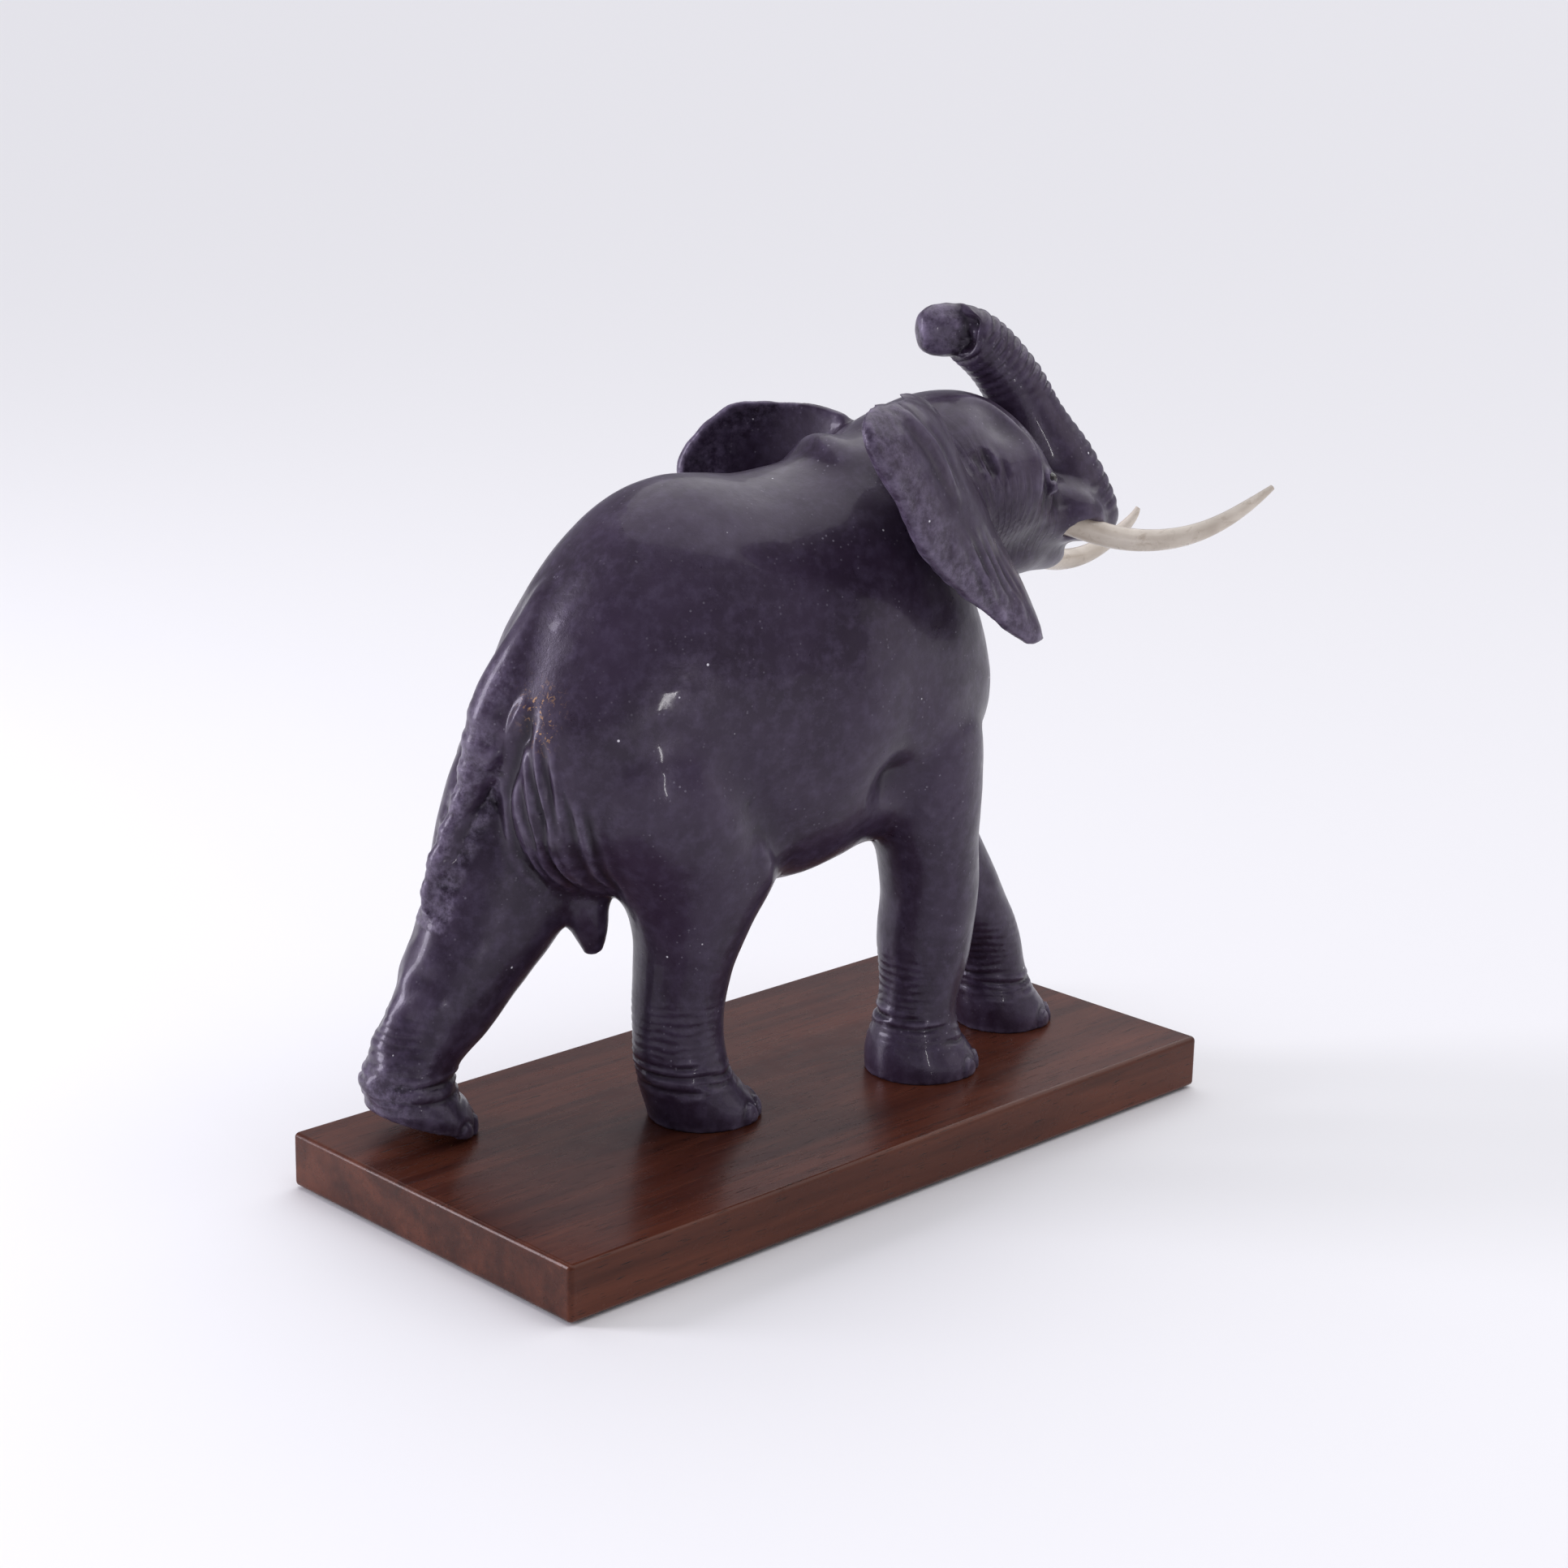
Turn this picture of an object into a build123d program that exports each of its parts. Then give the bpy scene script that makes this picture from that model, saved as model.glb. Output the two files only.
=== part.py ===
"""Carved elephant with a raised trunk, walking across a polished wooden base board.

Frame: the origin is the middle of the underside that the whole piece rests on. +X runs along
the board towards the elephant's head, +Y is to the elephant's left and +Z is up.
All sizes are in millimetres.
"""
import os
from math import cos, radians, sin

from build123d import *

# ---------------------------------------------------------------- driving dimensions
BASE_LENGTH = 300
BASE_WIDTH = 142
BASE_THICKNESS = 19
BASE_EDGE_RADIUS = 1.8
BAIZE_THICKNESS = 0.8
BAIZE_INSET = 3

HEADING = -12.3

EYE_RADIUS = 2.4
TUSK_SOCKET_GAP = 0.12
EYE_SOCKET_GAP = 0.08

SCREW_SHANK_RADIUS = 2.1
SCREW_CORE_RADIUS = 1.6
SCREW_HEAD_RADIUS = 4.1
SCREW_HEAD_HEIGHT = 2.6
SCREW_SLOT_WIDTH = 0.9
SCREW_SLOT_DEPTH = 1.1
SCREW_POINT_LENGTH = 3
SCREW_GAP = 0.15

# The elephant's own frame: x towards its head, y to its left, z up from the board's top face.
STAND = Plane.XY.offset(BAIZE_THICKNESS + BASE_THICKNESS).rotated((0, 0, HEADING))

# Torso, from the rump to the chest: x, top, bottom, half width.
TORSO = [
    (-103, 146, 114, 11),
    (-99, 160, 100, 22),
    (-90, 178, 90, 33),
    (-74, 199, 82, 41),
    (-52, 214, 77, 46),
    (-28, 216, 76, 49),
    (-4, 214, 77, 51),
    (18, 219, 81, 48),
    (36, 217, 86, 42),
    (51, 204, 93, 37),
    (63, 187, 103, 31),
    (72, 167, 113, 23),
    (76, 150, 122, 12),
]

# Neck and skull, from the nape to the brow: x, top, bottom, half width, middle y, roll in degrees.
HEAD = [
    (8, 206, 150, 26, 1, 0),
    (26, 224, 150, 32, 3, 4),
    (44, 233, 162, 35, 4, 7),
    (60, 238, 173, 36, 5, 9),
    (75, 237, 177, 35, 5, 9),
    (88, 231, 179, 31, 4, 9),
    (98, 219, 180, 25, 3, 9),
    (106, 208, 182, 17, 3, 9),
    (110, 200, 186, 9, 2, 9),
]

# Muzzle, from the cheeks to the foot of the trunk: same measures as the head.
MUZZLE = [
    (90, 206, 178, 26, 3, 14),
    (104, 205, 179, 24, 3, 15),
    (115, 203, 180.5, 22, 3, 16),
    (123, 200, 181.5, 17.5, 3, 16),
    (128, 196, 184, 9, 3, 16),
]

# Legs, from inside the body down to the sole: z, x, y, half length, half width, pitch in degrees.
RIGHT_HIND_LEG = [
    (168, -62, -12, 20, 16, 0),
    (150, -61, -18, 27, 22, 0),
    (127, -56, -22, 34, 25, 0),
    (105, -49, -22, 34, 24, 0),
    (88, -42, -19, 30, 22, 0),
    (72, -41, -17, 22, 19, 0),
    (56, -43, -15, 17, 17, 0),
    (40, -44.5, -14, 15.5, 15.5, 0),
    (24, -44, -14, 15.5, 15.5, 0),
    (14, -41, -14, 16.5, 17, 0),
    (6, -36, -14, 19, 18.5, 0),
    (0, -34.2, -14.2, 19, 18.5, 0),
]
RIGHT_FORELEG = [
    (158, 42, -10, 14, 12, 0),
    (138, 45, -17, 20, 17, 0),
    (116, 47, -21, 21.5, 18.5, 0),
    (95, 50, -19, 19.5, 18, 0),
    (75, 54, -16, 17.5, 17.5, 0),
    (55, 55, -14, 17, 17, 0),
    (38, 54, -14, 15.5, 15, 0),
    (22, 52, -14, 14.5, 14.5, 0),
    (13, 52.5, -13.5, 17, 16.5, 0),
    (5, 55, -13.2, 20, 19, 0),
    (0, 55.4, -13.2, 20, 19, 0),
]
LEFT_FORELEG = [
    (158, 36, 11, 15, 12, 0),
    (138, 42, 18, 21, 17, 0),
    (117, 50, 21, 22, 18.5, 0),
    (98, 62, 19.5, 21, 18, 0),
    (78, 75, 17, 18.5, 17, 0),
    (58, 86.5, 14.5, 16.5, 16, 0),
    (40, 96, 13, 15, 14.5, 0),
    (24, 102, 13, 13.5, 13.5, 0),
    (13, 105, 13, 15.5, 15, 0),
    (5, 109, 13.3, 17.5, 17, 0),
    (0, 110.2, 13.3, 17.5, 17, 0),
]
LEFT_HIND_LEG = [
    (168, -58, 12, 20, 16, 4),
    (150, -63, 18, 27, 21, 6),
    (130, -70, 21, 31, 23.5, 9),
    (111, -79, 20, 32, 23, 13),
    (92, -88, 18, 29.5, 22, 18),
    (72, -99, 16, 24, 19, 24),
    (54, -111, 15, 20, 17, 28),
    (38, -121, 15, 16.5, 15, 30),
    (27, -128, 15, 15, 14, 26),
    (19, -128.5, 15.5, 18, 15.5, 19),
    (12, -126.5, 15.5, 20, 17.5, 18),
    (5.2, -125.5, 15.5, 19.5, 17, 20),
]

# Round limbs, from inside the body to the tip: x, y, z, radius.
TRUNK = [
    (127, 3, 182, 8),
    (126.5, 3, 185.5, 12.5),
    (124.5, 4, 192, 15),
    (120, 5, 203, 14.3),
    (113.5, 7, 215, 12.9),
    (107, 9, 226, 11.8),
    (98.5, 10, 240, 10.7),
    (88.5, 11, 250, 10.2),
    (80, 12, 255, 9.8),
    (72.5, 13.2, 256.2, 8.8),
    (66, 14.5, 256, 6.6),
]
TAIL = [
    (-74, 0, 184, 6),
    (-88, 0, 170, 8.5),
    (-97, 1, 156, 9.5),
    (-103, 3, 142, 9.5),
    (-107, 6, 127, 7.2),
    (-111, 9, 115, 4.8),
    (-116, 11, 102, 4.2),
    (-120, 13, 90, 3.6),
    (-123, 14, 77, 2.6),
]
SHEATH = [
    (-72, 0, 84, 9),
    (-72, 0, 75, 8),
    (-70, 0, 66, 6),
    (-69, 0, 59, 3),
]
JAW = [
    (74, -2, 189, 14),
    (88, -2, 186, 14),
    (99, 0, 183, 12),
    (108, 2, 180, 9),
    (115, 3, 177, 6),
    (119, 3, 176.5, 3),
]
LEFT_TUSK_POUCH = [
    (92, 15, 187, 9),
    (103, 18, 181, 8.5),
    (111, 20.5, 177.5, 7),
    (114.5, 21.3, 176, 5.6),
]
RIGHT_TUSK = [
    (104, -11, 191, 4.4),
    (113, -13, 190, 4.5),
    (124, -17, 186, 4.2),
    (136, -22, 184, 3.9),
    (150, -27, 185, 3.5),
    (165, -31, 190, 2.8),
    (178, -33, 197, 1.8),
    (184, -34, 201, 1.0),
]
LEFT_TUSK = [
    (103, 19, 178, 4.4),
    (112, 21, 176, 4.5),
    (126, 24, 171, 4.2),
    (138, 28, 168, 3.9),
    (152, 31, 168, 3.4),
    (165, 33, 172, 2.8),
    (174, 33, 178, 2.0),
    (178, 33, 183, 1.0),
]

# Ears, from the top edge down to the lobe: z, root x, root y, rim x, rim y, thickness.
RIGHT_EAR = [
    (244.5, 24, -34, 3, -55, 3),
    (241, 34, -30, -7, -62, 5),
    (234, 42, -29, -9, -66, 6),
    (222, 49, -29, -2, -67, 6),
    (208, 57, -30, 7, -66, 6),
    (194, 65, -31, 18, -63, 6),
    (182, 71, -34, 33, -59, 5.5),
    (172, 74, -39, 48, -55, 5),
    (164, 75, -44, 60, -53, 4),
    (160, 76, -47, 66, -51, 3),
]
LEFT_EAR = [
    (229, 44, 32, 24, 54, 3),
    (225, 48, 30, 14, 64, 5),
    (214, 50, 30, 6, 71, 6),
    (202, 53, 31, 3, 73, 6),
    (190, 57, 33, 9, 70, 6),
    (178, 62, 36, 21, 66, 5.5),
    (166, 68, 41, 38, 60, 5),
    (156, 71, 46, 54, 56, 4),
    (151, 73, 48, 60, 54, 3),
]
EAR_CUP = 0.12

# Fixing screws: foot, x, y in the elephant's frame, depth of the screw above the board.
FOOT_SCREWS = [
    ("right_hind", -35, -14, 16),
    ("right_fore", 55, -13, 16),
    ("left_fore", 109, 13, 16),
    ("left_hind", -114, 15.5, 13),
]

# Eyes: place of the bead's middle, and the way it looks.
EYES = {
    "right_eye": ((95.5, -21.2, 208.5), (0.7, -0.7, 0.2)),
    "left_eye": ((95.5, 29, 200), (0.7, 0.7, 0)),
}


def point(x, y, z):
    """A place given in the elephant's own frame."""
    return STAND.from_local_coords(Vector(x, y, z))


def direction(x, y, z):
    """A direction given in the elephant's own frame."""
    return point(x, y, z) - STAND.origin


def section_plane(centre, across, up):
    """The plane through centre that across and up lie in, all in the elephant's own frame."""
    across, up = direction(*across), direction(*up)
    return Plane(point(*centre), x_dir=across, z_dir=across.cross(up))


def oval(centre, across, up, half_across, half_up):
    """An oval section through a limb or the torso."""
    with BuildSketch(section_plane(centre, across, up)) as section:
        Ellipse(half_across, half_up)
    return section.sketch


def cross_slice(x, top, bottom, half_width, y=0, roll=0):
    """A section across the elephant, in an upright plane, rolled towards its left."""
    c, s = cos(radians(roll)), sin(radians(roll))
    centre = (x, y, (top + bottom) / 2)
    return oval(centre, (0, c, -s), (0, s, c), half_width, (top - bottom) / 2)


def level_slice(z, x, y, half_length, half_width, pitch=0):
    """A section through a leg, level or pitched down towards the front."""
    c, s = cos(radians(pitch)), sin(radians(pitch))
    return oval((x, y, z), (c, 0, -s), (0, 1, 0), half_length, half_width)


def ear_slice(z, root_x, root_y, rim_x, rim_y, thickness):
    """A level section through an ear: a thin strip from its root to its rim, cupped forwards."""
    span = Vector(rim_x - root_x, rim_y - root_y, 0)
    across = span.normalized()
    forward = Vector(0, 0, 1).cross(across)
    if forward.X < 0:
        forward = -forward
    centre = ((root_x + rim_x) / 2, (root_y + rim_y) / 2, z)
    t = thickness / 2
    end = span.length / 2
    flat = end - t
    cup = EAR_CUP * span.length
    with BuildSketch(section_plane(centre, tuple(across), tuple(forward))) as section:
        with BuildLine():
            ThreePointArc((-flat, t), (0, cup + t), (flat, t))
            ThreePointArc((flat, t), (end, 0), (flat, -t))
            ThreePointArc((flat, -t), (0, cup - t), (-flat, -t))
            ThreePointArc((-flat, -t), (-end, 0), (-flat, t))
        make_face()
    return section.sketch


def round_slices(path, grow=0):
    """Round sections square to a path, each facing from the point before it to the one after."""
    places = [Vector(x, y, z) for x, y, z, _ in path]
    slices = []
    for i, (_, _, _, radius) in enumerate(path):
        before, after = places[max(i - 1, 0)], places[min(i + 1, len(path) - 1)]
        along = (after - before).normalized()
        across = Vector(0, 1, 0).cross(along).normalized()
        slices.append(oval(tuple(places[i]), tuple(across), tuple(along.cross(across)),
                           radius + grow, radius + grow))
    return slices


def round_limb(path, grow=0):
    """A round limb through the sections of its path."""
    with BuildPart() as limb:
        loft(round_slices(path, grow))
    return limb.part


def turned_screw(foot_x, foot_y, reach, gap=0):
    """A countersunk wood screw, head down on the board's underside, reaching into a foot."""
    foot = point(foot_x, foot_y, 0)
    underside = Plane((foot.X, foot.Y, BAIZE_THICKNESS))
    seat = Plane(underside.origin, x_dir=(1, 0, 0), z_dir=(0, -1, 0))
    tip = BASE_THICKNESS + reach + gap
    with BuildPart() as screw:
        with BuildSketch(seat):
            with BuildLine():
                Polyline(
                    (0, 0),
                    (SCREW_HEAD_RADIUS + gap, 0),
                    (SCREW_SHANK_RADIUS + gap, SCREW_HEAD_HEIGHT),
                    (SCREW_SHANK_RADIUS + gap, BASE_THICKNESS),
                    (SCREW_CORE_RADIUS + gap, BASE_THICKNESS),
                    (SCREW_CORE_RADIUS + gap, tip - SCREW_POINT_LENGTH),
                    (0, tip),
                    close=True,
                )
            make_face()
        revolve(axis=Axis(underside.origin, (0, 0, 1)))
        if not gap:
            with BuildSketch(underside):
                Rectangle(2 * SCREW_HEAD_RADIUS, SCREW_SLOT_WIDTH)
            extrude(amount=SCREW_SLOT_DEPTH, mode=Mode.SUBTRACT)
    return screw.part


def eye_ball(place, gaze, gap=0):
    """An inlaid bead. Its middle lies just under the skin, so about a quarter of it shows."""
    with BuildPart(Plane(point(*place), z_dir=direction(*gaze))) as ball:
        Sphere(EYE_RADIUS + gap)
    return ball.part


def save(part, label):
    """Name a finished piece and write it to its file."""
    part.label = label
    export_step(part, f"parts/{label}.step")


os.makedirs("parts", exist_ok=True)

# ---------------------------------------------------------------- baize under the board
with BuildPart() as baize:
    with BuildSketch():
        RectangleRounded(BASE_LENGTH - 2 * BAIZE_INSET, BASE_WIDTH - 2 * BAIZE_INSET, BAIZE_INSET)
    extrude(amount=BAIZE_THICKNESS)
save(baize.part, "baize_underlay")

# ---------------------------------------------------------------- base board
with BuildPart() as board:
    with BuildSketch(Plane.XY.offset(BAIZE_THICKNESS)):
        Rectangle(BASE_LENGTH, BASE_WIDTH)
    extrude(amount=BASE_THICKNESS)
    fillet(board.edges(), BASE_EDGE_RADIUS)
    for _, x, y, reach in FOOT_SCREWS:
        add(turned_screw(x, y, reach, SCREW_GAP), mode=Mode.SUBTRACT)
save(board.part, "base_board")

# ---------------------------------------------------------------- screws up into the feet
for name, x, y, reach in FOOT_SCREWS:
    save(turned_screw(x, y, reach), f"{name}_foot_screw")

# ---------------------------------------------------------------- tusks, pegged into the head
save(round_limb(RIGHT_TUSK), "right_tusk")
save(round_limb(LEFT_TUSK), "left_tusk")

# ---------------------------------------------------------------- inlaid eyes
for name, (place, gaze) in EYES.items():
    save(eye_ball(place, gaze), name)

# ---------------------------------------------------------------- the carved elephant
with BuildPart() as elephant:
    for bulk in (TORSO, HEAD, MUZZLE):
        loft([cross_slice(*row) for row in bulk])
    for limb in (TRUNK, JAW, LEFT_TUSK_POUCH):
        add(round_limb(limb))
    for tusk in (RIGHT_TUSK, LEFT_TUSK):
        add(round_limb(tusk, TUSK_SOCKET_GAP), mode=Mode.SUBTRACT)
    for place, gaze in EYES.values():
        add(eye_ball(place, gaze, EYE_SOCKET_GAP), mode=Mode.SUBTRACT)
    for leg in (RIGHT_HIND_LEG, RIGHT_FORELEG, LEFT_FORELEG, LEFT_HIND_LEG):
        loft([level_slice(*row) for row in leg])
    for limb in (TAIL, SHEATH):
        add(round_limb(limb))
    for ear in (RIGHT_EAR, LEFT_EAR):
        loft([ear_slice(*row) for row in ear])
    split(bisect_by=STAND, keep=Keep.TOP)
    for _, x, y, reach in FOOT_SCREWS:
        add(turned_screw(x, y, reach, SCREW_GAP), mode=Mode.SUBTRACT)
save(elephant.part, "elephant_body")
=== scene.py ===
"""Looks of the elephant figurine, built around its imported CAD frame.

The elephant's skin is sculpted in the elephant's own frame, in millimetres: X towards its head, Y to its
left, Z up from the top of the board. Places written as three numbers are in that frame. Materials, lights
and the camera are in the row's frame, in metres.
"""
import math

import bpy
import numpy as np
from mathutils import Matrix, Vector


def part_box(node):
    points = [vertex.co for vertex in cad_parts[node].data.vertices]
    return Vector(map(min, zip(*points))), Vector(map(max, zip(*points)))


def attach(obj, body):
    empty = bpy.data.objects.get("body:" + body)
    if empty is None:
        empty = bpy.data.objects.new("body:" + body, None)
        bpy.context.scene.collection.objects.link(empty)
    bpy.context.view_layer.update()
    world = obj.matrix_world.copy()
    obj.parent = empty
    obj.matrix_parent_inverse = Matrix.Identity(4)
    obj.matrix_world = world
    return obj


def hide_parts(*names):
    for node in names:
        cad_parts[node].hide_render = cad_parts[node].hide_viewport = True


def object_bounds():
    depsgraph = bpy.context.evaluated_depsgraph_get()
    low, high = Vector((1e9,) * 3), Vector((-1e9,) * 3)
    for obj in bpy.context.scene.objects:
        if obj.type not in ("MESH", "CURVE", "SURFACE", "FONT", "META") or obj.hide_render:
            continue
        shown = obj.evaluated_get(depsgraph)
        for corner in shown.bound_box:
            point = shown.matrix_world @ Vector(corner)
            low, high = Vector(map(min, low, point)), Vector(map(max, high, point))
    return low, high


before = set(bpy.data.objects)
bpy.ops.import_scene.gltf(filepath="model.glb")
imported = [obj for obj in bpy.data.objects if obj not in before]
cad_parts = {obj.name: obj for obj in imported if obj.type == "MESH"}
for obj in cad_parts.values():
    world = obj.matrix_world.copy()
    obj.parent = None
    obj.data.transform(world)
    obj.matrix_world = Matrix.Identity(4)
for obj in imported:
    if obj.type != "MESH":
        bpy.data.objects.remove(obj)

CAD_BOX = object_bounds()
BOARD_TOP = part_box("base_board")[1].z
MM = 0.001

# The elephant walks a little askew on its board, and its head is tilted.
HEADING = math.radians(-12.3)
HEAD_ROLL = math.radians(9)
HEAD_MIDDLE = (0, 4, 205)

# Millimetres between the points of the skin, and how far it keeps inside the CAD's overall box.
SKIN_PITCH = 0.95
BOX_INSET = 0.02

SIDES = {-1: "right", 1: "left"}


# ---------------------------------------------------------------- frames
def elephant_axes():
    """The matrix that turns a row vector of the elephant's frame into one of the row's frame."""
    c, s = math.cos(HEADING), math.sin(HEADING)
    return np.array([[c, s, 0.0], [-s, c, 0.0], [0.0, 0.0, 1.0]])


def to_elephant(metres):
    """Row frame, metres, to the elephant's frame, millimetres."""
    return (np.asarray(metres) - (0, 0, BOARD_TOP)) @ elephant_axes().T / MM


def to_row(millimetres):
    """The elephant's frame, millimetres, to the row frame, metres."""
    return np.asarray(millimetres) @ elephant_axes() * MM + (0, 0, BOARD_TOP)


def from_head(x, out, up, side):
    """Gives a place on the tilted head, out from its middle plane to one side: 1 left, -1 right."""
    c, s = math.cos(HEAD_ROLL), math.sin(HEAD_ROLL)
    across = out * side
    return (x, HEAD_MIDDLE[1] + across * c + up * s, HEAD_MIDDLE[2] - across * s + up * c)


def to_head(co):
    """The elephant's frame to the tilted head's: x, distance to the left of its middle plane, height."""
    c, s = math.cos(HEAD_ROLL), math.sin(HEAD_ROLL)
    y, z = co[:, 1] - HEAD_MIDDLE[1], co[:, 2] - HEAD_MIDDLE[2]
    return np.stack([co[:, 0], y * c - z * s, y * s + z * c], axis=1)


# ---------------------------------------------------------------- shaping helpers
def smoothstep(low, high, value):
    """Rises smoothly from 0 at low to 1 at high. Low may be the larger of the two."""
    t = np.clip((value - low) / (high - low), 0, 1)
    return t * t * (3 - 2 * t)


def noise(points, scale, seed):
    """Smooth random values from -1 to 1 that change over about scale millimetres."""
    size = 32
    keep_positive = 1000
    table = np.random.default_rng(seed).uniform(-1, 1, (size, size, size))
    q = np.asarray(points) / scale + keep_positive
    cell = np.floor(q).astype(int)
    f = q - cell
    f = f * f * (3 - 2 * f)
    total = np.zeros(len(q))
    for corner in np.ndindex(2, 2, 2):
        weight = np.prod(np.where(corner, f, 1 - f), axis=1)
        i, j, k = ((cell + corner) % size).T
        total += weight * table[i, j, k]
    return total


def smooth_path(points, step=0.8):
    """Close points along a smooth curve through the given ones."""
    p = np.array(points, float)
    p = np.concatenate([[2 * p[0] - p[1]], p, [2 * p[-1] - p[-2]]])
    out = []
    for a, b, c, d in zip(p, p[1:], p[2:], p[3:]):
        count = max(2, int(np.linalg.norm(c - b) / step))
        t = np.linspace(0, 1, count, endpoint=False)[:, None]
        out.append(0.5 * (2 * b + (c - a) * t + (2 * a - 5 * b + 4 * c - d) * t**2
                          + (3 * b - a - 3 * c + d) * t**3))
    return np.concatenate(out + [p[-2:-1]])


def remeshed(node, voxel):
    """A mesh of small even quads with the node's shape."""
    draft = bpy.data.objects.new("draft", node.data.copy())
    bpy.context.scene.collection.objects.link(draft)
    modifier = draft.modifiers.new("even", "REMESH")
    modifier.mode = "VOXEL"
    modifier.voxel_size = voxel
    graph = bpy.context.evaluated_depsgraph_get()
    mesh = bpy.data.meshes.new_from_object(draft.evaluated_get(graph))
    bpy.data.objects.remove(draft)
    return mesh


class Clay:
    """Mesh points in the elephant's frame, with the moves that a carver makes on them."""

    def __init__(self, mesh):
        self.mesh = mesh
        co = np.zeros(len(mesh.vertices) * 3)
        mesh.vertices.foreach_get("co", co)
        self.co = to_elephant(co.reshape(-1, 3))
        edges = np.zeros(len(mesh.edges) * 2, int)
        mesh.edges.foreach_get("vertices", edges)
        ends = edges.reshape(-1, 2)
        self.near = np.concatenate([ends[:, 0], ends[:, 1]])
        self.other = np.concatenate([ends[:, 1], ends[:, 0]])
        self.valence = np.bincount(self.near, minlength=len(self.co)).astype(float)
        loops = np.zeros(len(mesh.loops), int)
        mesh.loops.foreach_get("vertex_index", loops)
        starts = np.zeros(len(mesh.polygons), int)
        mesh.polygons.foreach_get("loop_start", starts)
        self.quads = loops[starts[:, None] + np.arange(4)]
        self.refresh()

    def refresh(self):
        """Works out the vertex normals again."""
        a, b, c, d = (self.co[self.quads[:, i]] for i in range(4))
        face = np.cross(c - a, d - b)
        total = np.zeros_like(self.co)
        for corner in range(4):
            for axis in range(3):
                total[:, axis] += np.bincount(
                    self.quads[:, corner], face[:, axis], minlength=len(self.co)
                )
        self.normal = total / (np.linalg.norm(total, axis=1)[:, None] + 1e-12)

    def average(self, values):
        """Mean over each vertex's neighbours."""
        total = [
            np.bincount(self.near, column[self.other], minlength=len(self.co)) / self.valence
            for column in values.T
        ]
        return np.stack(total, axis=1)

    def soften(self, rounds, share=1.0):
        """Evens the surface out without shrinking it much."""
        share = np.broadcast_to(share, len(self.co))[:, None]
        shrink, swell = 0.50, 0.51
        for _ in range(rounds):
            self.co += (self.average(self.co) - self.co) * shrink * share
            self.co -= (self.average(self.co) - self.co) * swell * share
        self.refresh()

    def rub(self, rounds, share):
        """Rubs the surface smooth, which also takes off what stands out."""
        for _ in range(rounds):
            self.co += (self.average(self.co) - self.co) * 0.5 * share[:, None]

    def fill(self, rounds, share=1.0):
        """Fills inner corners, and leaves what stands out as it is."""
        for i in range(rounds):
            if i % 5 == 0:
                self.refresh()
            lift = ((self.average(self.co) - self.co) * self.normal).sum(1)
            self.co += self.normal * (np.clip(lift, 0, None) * 0.8 * share)[:, None]
        self.refresh()

    def push(self, amount):
        """Moves each vertex along its normal by its own amount."""
        self.co += self.normal * amount[:, None]
        self.refresh()

    def around(self, centre, radius):
        """Falls from 1 at a centre to 0 well outside a radius."""
        gap = ((self.co - centre) ** 2).sum(1)
        return np.exp(-gap / radius**2)

    def stroke(self, points, height, width, shoulders=0.0, taper=0.18, facing=None):
        """Carves a groove, with a height below 0, or raises a ridge, along a smooth path."""
        path = smooth_path(points)
        reach = 3 * width
        inside = (self.co > path.min(0) - reach) & (self.co < path.max(0) + reach)
        near = np.where(inside.all(axis=1))[0]
        gap = ((self.co[near][:, None] - path[None]) ** 2).sum(2)
        best = gap.argmin(1)
        far = np.sqrt(gap[np.arange(len(near)), best])
        along = best / (len(path) - 1)
        fade = smoothstep(0, taper, np.minimum(along, 1 - along) + 0.02)
        profile = np.exp(-(far / width) ** 2)
        profile -= shoulders * np.exp(-((far - 2 * width) / width) ** 2)
        if facing is not None:
            profile = profile * smoothstep(0, 0.4, self.normal[near] @ np.array(facing, float))
        self.co[near] += self.normal[near] * (height * profile * fade)[:, None]

    def apply(self):
        """Writes the points back to the mesh, kept inside the CAD's overall box."""
        inset = BOX_INSET * MM
        place = np.clip(to_row(self.co), np.array(CAD_BOX[0]) + inset, np.array(CAD_BOX[1]) - inset)
        self.mesh.vertices.foreach_set("co", place.ravel())
        self.mesh.update()

    def store(self, name, values, top=1.0):
        """Keeps a value for each vertex, for the material to read, from 0 to top unless top is None."""
        values = values if top is None else np.clip(values, 0, top)
        self.mesh.attributes.new(name, "FLOAT", "POINT").data.foreach_set("value", values)


def pinched(phase, sharpness=0.5):
    """Rounded ridges with narrow valleys, one for each whole number of phase, from -1 to 0."""
    return np.abs(np.sin(math.pi * phase)) ** sharpness - 1


# ---------------------------------------------------------------- head
# Lines on the tilted head: x, distance out from its middle plane, height.
BROW = [(62, 16, 29.5), (70, 17, 28.5), (76, 19, 27), (80, 22, 23), (83, 25, 18), (85, 28, 12),
        (85.5, 30, 5), (86, 31, -3), (88, 30, -10)]
BEFORE_BROW = [(87, 20, 22), (90, 23, 15), (91.5, 26, 8), (91.5, 28, 1), (92, 28.5, -6), (95, 27, -13)]
TEMPLE_FOLDS = [
    (-1.3, [(59, 32.5, 11), (61, 33.8, 8), (63, 35, 3)]),
    (-1.8, [(62, 31.5, 13), (64, 33, 9), (67.5, 34.5, 1)]),
    (-0.5, [(69, 33, 9), (70, 34, 5), (71.5, 35, 0)]),
]
# Broad swellings and hollows on each side of the head: height, middle, radius.
HEAD_SWELLINGS = [
    (-3.6, (76, 27, 19), 9.5),
    (-0.8, (66, 33, 7), 8),
    (1.2, (80, 33, -10), 13),
    (-3.6, (105, 22, -9), 7),
]


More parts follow.
